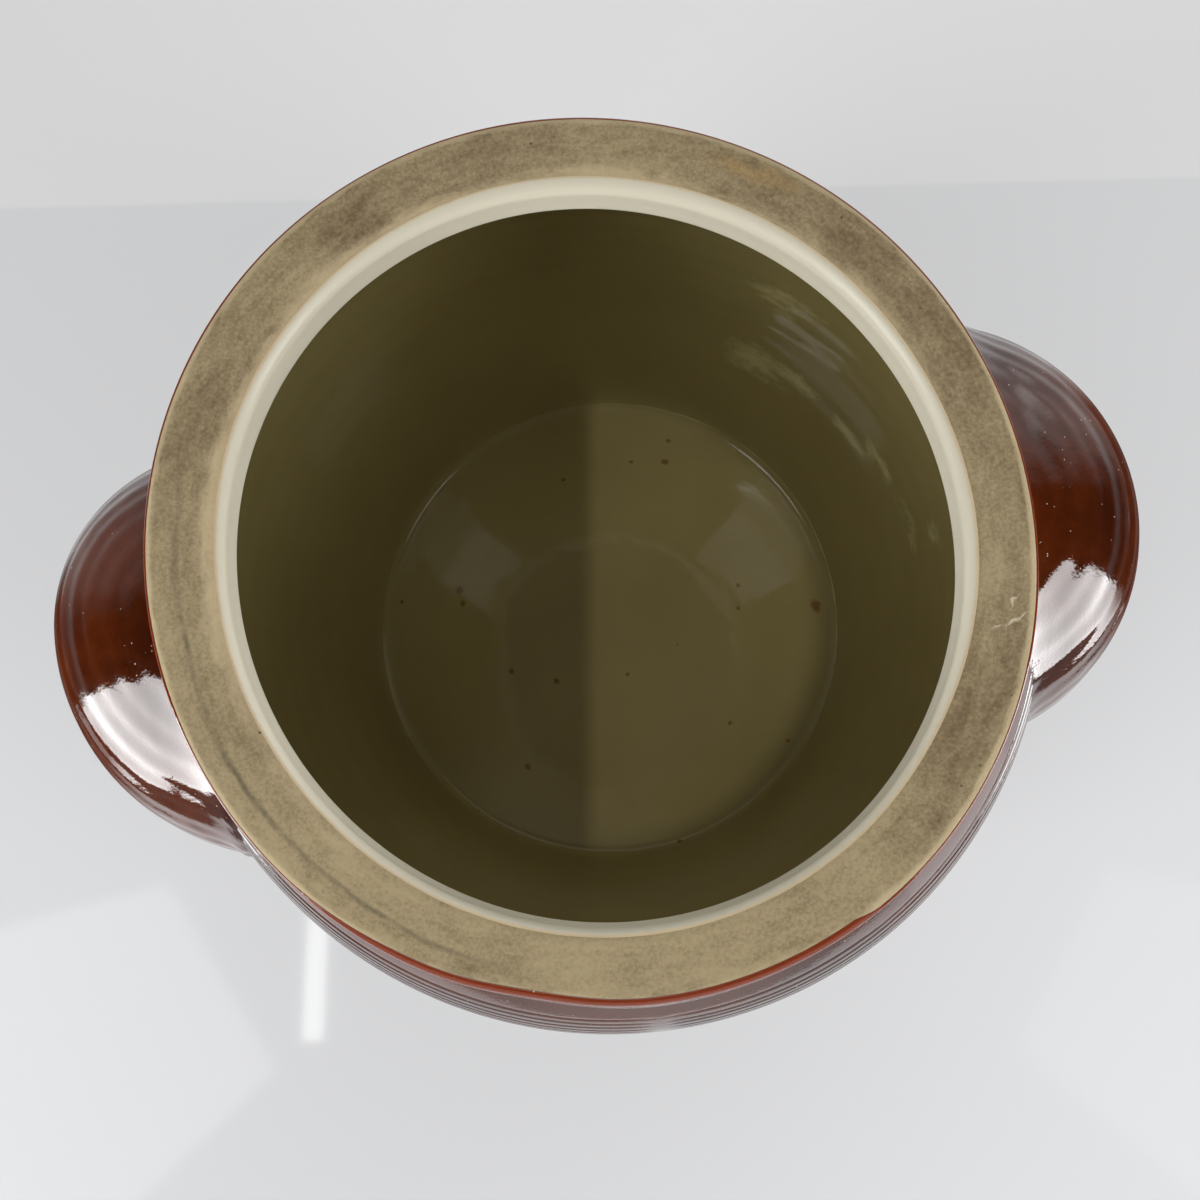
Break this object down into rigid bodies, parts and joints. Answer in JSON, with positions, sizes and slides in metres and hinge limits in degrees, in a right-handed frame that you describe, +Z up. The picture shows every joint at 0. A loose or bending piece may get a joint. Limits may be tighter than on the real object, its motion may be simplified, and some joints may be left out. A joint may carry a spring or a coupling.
{
  "type": "confit pot",
  "caption": "Round-bellied stoneware confit pot with an open mouth, a thick bare rim, ribbed ear handles under the rim, brown glaze outside and olive glaze inside.",
  "frame": {"origin": "centre of the foot, on the surface that the pot stands on", "axes": "+Z up along the pot's axis, +X through the middle of the right handle, +Y to the back"},
  "size_m": [0.2924, 0.2402, 0.212],
  "materials": {
    "stoneware": "matte",
    "slip": "matte",
    "brown_glaze": "gloss",
    "olive_glaze": "gloss",
    "white_glaze": "gloss"
  },
  "bodies": {
    "root": {"pot_body": "stoneware", "right_handle": "stoneware", "left_handle": "stoneware", "right_handle_slip": "slip", "left_handle_slip": "slip", "outer_glaze": "brown_glaze", "right_handle_glaze": "brown_glaze", "left_handle_glaze": "brown_glaze", "inner_glaze": "olive_glaze", "lip_glaze": "white_glaze"}
  },
  "joints": []
}
